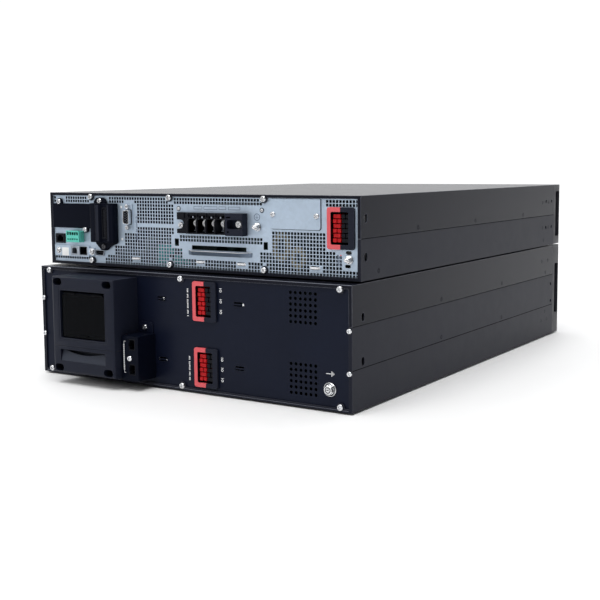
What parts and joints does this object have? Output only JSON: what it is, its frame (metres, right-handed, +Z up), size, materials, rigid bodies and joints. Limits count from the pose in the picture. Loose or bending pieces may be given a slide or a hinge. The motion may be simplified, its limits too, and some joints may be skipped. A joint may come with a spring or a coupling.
{
  "type": "rackmount ups",
  "caption": "Two stacked rack-mount chassis: a power module with connectors, perforated rear and turning display on a taller battery module with a breaker box.",
  "frame": {"origin": "centre of the bounding box's bottom face, on the plane that the feet stand on", "axes": "+Z up, +Y towards the rear connector panels, fronts face -Y, +X is on the breaker side"},
  "size_m": [0.438, 0.651, 0.2205],
  "materials": {
    "black_steel": "fine-texture powder coat",
    "battery_panel": "smooth matte powder coat",
    "zinc_panel": "zinc plated, satin",
    "black_plastic": "matte moulded",
    "charcoal_plastic": "fine moulded texture",
    "window_plastic": "smoked, glossy",
    "red_plastic": "satin moulded",
    "green_plastic": "satin moulded",
    "bright_metal": "nickel plated",
    "aluminium": "extruded",
    "circuit_board": "solder mask",
    "battery_case": "moulded",
    "screen": "polished",
    "grey_button": "satin"
  },
  "bodies": {
    "battery_module": {"batt_base_tray": "black_steel", "batt_middle_frame": "black_steel", "batt_top_cover": "black_steel", "batt_rear_panel": "battery_panel", "batt_panel_screws_top": "bright_metal", "batt_panel_screws_bottom": "bright_metal", "batt_front_plate": "black_steel", "battery_tray_left": "zinc_panel", "battery_pack_left": "battery_case", "battery_tray_right": "zinc_panel", "battery_pack_right": "battery_case", "battery_fuse_board": "circuit_board", "battery_port_a_red": "red_plastic", "battery_port_a_black": "black_plastic", "battery_port_b_red": "red_plastic", "battery_port_b_black": "black_plastic", "batt_ground_bolt": "bright_metal", "breaker_enclosure": "charcoal_plastic", "breaker_door_pin": "bright_metal", "breaker_body": "black_plastic", "port_box": "black_steel", "port_jacks": "black_plastic"},
    "battery_bezel": {"batt_front_bezel": "charcoal_plastic"},
    "breaker_door": {"breaker_door": "window_plastic"},
    "breaker_toggle": {"breaker_toggle": "charcoal_plastic"},
    "ups_module": {"ups_base_tray": "black_steel", "ups_top_cover": "black_steel", "ups_rear_panel": "zinc_panel", "ups_panel_screws_top": "bright_metal", "ups_panel_screws_bottom": "bright_metal", "flat_cover_plate": "charcoal_plastic", "ribbed_cover": "charcoal_plastic", "alarm_jack": "black_plastic", "signal_header": "green_plastic", "comms_card": "zinc_panel", "serial_port": "bright_metal", "terminal_block": "black_plastic", "terminal_cover": "charcoal_plastic", "ups_battery_port_red": "red_plastic", "ups_battery_port_black": "black_plastic", "ups_ground_stud": "bright_metal", "aux_ground_stud": "bright_metal", "option_slot_cover": "zinc_panel", "pull_bar": "zinc_panel", "ups_front_plate": "black_steel", "fan_frame_left": "black_plastic", "fan_frame_right": "black_plastic", "power_board": "circuit_board", "heatsink_left": "aluminium", "heatsink_right": "aluminium"},
    "ups_bezel": {"ups_front_bezel": "charcoal_plastic"},
    "display": {"display_dial": "black_plastic", "display_screen": "screen"},
    "nav_button_1": {"nav_button_1": "grey_button"},
    "nav_button_2": {"nav_button_2": "grey_button"},
    "nav_button_3": {"nav_button_3": "grey_button"},
    "power_button": {"power_button": "grey_button"},
    "fan_left": {"fan_rotor_left": "charcoal_plastic"},
    "fan_right": {"fan_rotor_right": "charcoal_plastic"},
    "signal_plug": {"signal_plug": "green_plastic"}
  },
  "joints": [
    {"name": "ups_lift", "type": "slide", "parent": "battery_module", "child": "ups_module", "axis": [0, 0, 1], "range_m": [0, 0.12]},
    {"name": "battery_bezel_pull", "type": "slide", "parent": "battery_module", "child": "battery_bezel", "axis": [0, -1, 0], "range_m": [0, 0.05]},
    {"name": "ups_bezel_pull", "type": "slide", "parent": "ups_module", "child": "ups_bezel", "axis": [0, -1, 0], "range_m": [0, 0.05]},
    {"name": "breaker_door_swing", "type": "hinge", "parent": "battery_module", "child": "breaker_door", "pos_m": [0.1145, 0.3222, 0.107], "axis": [1, 0, 0], "range_deg": [0, 95]},
    {"name": "breaker_toggle_flip", "type": "hinge", "parent": "battery_module", "child": "breaker_toggle", "pos_m": [0.1145, 0.306, 0.082], "axis": [1, 0, 0], "range_deg": [-50, 0]},
    {"name": "display_turn", "type": "hinge", "parent": "ups_bezel", "child": "display", "pos_m": [0, -0.3205, 0.17725], "axis": [0, 1, 0], "range_deg": [0, 90]},
    {"name": "nav_button_1_press", "type": "slide", "parent": "display", "child": "nav_button_1", "axis": [0, 1, 0], "range_m": [0, 0.0012], "stiffness_N_per_m": 400, "springref_m": -0.001},
    {"name": "nav_button_2_press", "type": "slide", "parent": "display", "child": "nav_button_2", "axis": [0, 1, 0], "range_m": [0, 0.0012], "stiffness_N_per_m": 400, "springref_m": -0.001},
    {"name": "nav_button_3_press", "type": "slide", "parent": "display", "child": "nav_button_3", "axis": [0, 1, 0], "range_m": [0, 0.0012], "stiffness_N_per_m": 400, "springref_m": -0.001},
    {"name": "power_button_press", "type": "slide", "parent": "ups_bezel", "child": "power_button", "axis": [0, 1, 0], "range_m": [0, 0.0015], "stiffness_N_per_m": 400, "springref_m": -0.001},
    {"name": "fan_left_spin", "type": "hinge", "parent": "ups_module", "child": "fan_left", "pos_m": [0.095, -0.2845, 0.1773], "axis": [0, 1, 0], "continuous": true},
    {"name": "fan_right_spin", "type": "hinge", "parent": "ups_module", "child": "fan_right", "pos_m": [-0.095, -0.2845, 0.1773], "axis": [0, 1, 0], "continuous": true},
    {"name": "signal_plug_pull", "type": "slide", "parent": "ups_module", "child": "signal_plug", "axis": [0, 1, 0], "range_m": [0, 0.014]}
  ]
}
